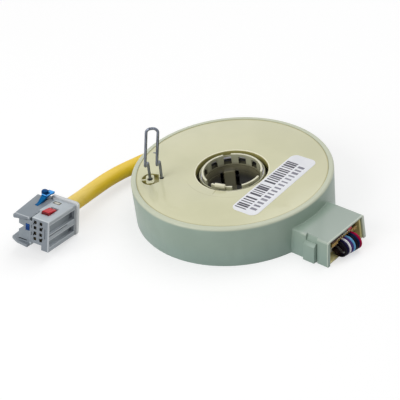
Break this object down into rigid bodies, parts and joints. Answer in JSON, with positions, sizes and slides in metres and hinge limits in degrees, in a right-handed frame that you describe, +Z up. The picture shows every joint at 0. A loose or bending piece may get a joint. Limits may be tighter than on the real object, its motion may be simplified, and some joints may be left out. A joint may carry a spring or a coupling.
{
  "type": "steering angle sensor",
  "caption": "Flat ring sensor for a steering column: a slotted turning sleeve in the bore, a clamped upper ring, a pull-out wire lock, a side box with jumper wires and a cable with a plug.",
  "frame": {"origin": "on the shaft axis, in the plane of the flat underside of the base plate", "axes": "+Z up the shaft from the base to the cover, +X along the side box from the ring to its mouth, +Y across"},
  "size_m": [0.127, 0.1207, 0.0456],
  "materials": {
    "housing": "smooth moulded plastic, faint satin",
    "cover": "smooth satin moulded plastic",
    "base": "smooth moulded plastic",
    "board": "green solder mask with gold edge pads",
    "chip": "black epoxy with a fine grain",
    "sleeve": "dark filled plastic",
    "target": "stamped sheet",
    "ring": "satin moulded plastic",
    "spring": "flat wound steel",
    "pin": "drawn steel wire",
    "label": "white film with a dark bar print",
    "comb": "moulded plastic",
    "solder": "rounded solder",
    "cable": "yellow sheath",
    "grommet": "black rubber",
    "connector": "grey moulded plastic",
    "back_cover": "grey moulded plastic",
    "button": "red moulded plastic",
    "lever": "blue moulded plastic",
    "inner_lock": "blue moulded plastic",
    "contact": "tinned brass",
    "wire_black": "insulated wire",
    "wire_navy": "insulated wire",
    "wire_white": "insulated wire",
    "wire_violet": "insulated wire",
    "wire_light_blue": "insulated wire",
    "wire_crimson": "insulated wire"
  },
  "bodies": {
    "housing": {"housing": "housing", "cover": "cover", "base_plate": "base", "circuit_board": "board", "board_chips": "chip", "label": "label", "wire_comb": "comb", "solder_joints": "solder", "cable": "cable", "cable_grommet": "grommet", "connector_housing": "connector", "connector_back_cover": "back_cover", "connector_inner_lock": "inner_lock", "connector_contacts": "contact", "wire_black": "wire_black", "wire_navy": "wire_navy", "wire_white": "wire_white", "wire_violet": "wire_violet", "wire_light_blue": "wire_light_blue", "wire_black_second": "wire_black", "wire_navy_second": "wire_navy", "wire_crimson": "wire_crimson"},
    "output": {"output_sleeve": "sleeve", "output_target": "target"},
    "input": {"input_ring": "ring", "input_target": "target", "grip_spring": "spring"},
    "pin": {"lock_pin": "pin"},
    "lever": {"connector_lever": "lever"},
    "button": {"connector_button": "button"}
  },
  "joints": [
    {"name": "output_turn", "type": "hinge", "parent": "housing", "child": "output", "pos_m": [0, 0, 0], "axis": [0, 0, 1], "continuous": true},
    {"name": "input_twist", "type": "hinge", "parent": "output", "child": "input", "pos_m": [0, 0, 0.0102], "axis": [0, 0, 1], "range_deg": [-5, 5]},
    {"name": "lock_pin_pull", "type": "slide", "parent": "housing", "child": "pin", "axis": [0, 0, 1], "range_m": [0, 0.02]},
    {"name": "lever_press", "type": "hinge", "parent": "housing", "child": "lever", "pos_m": [-0.05398, -0.06313, 0.01636], "axis": [0.9777, 0.1936, -0.0819], "range_deg": [-3, 0], "stiffness_Nm_per_rad": 0.01},
    {"name": "button_slide", "type": "slide", "parent": "housing", "child": "button", "axis": [-0.2063, 0.9585, -0.197], "range_m": [0, 0.002], "stiffness_N_per_m": 50}
  ]
}
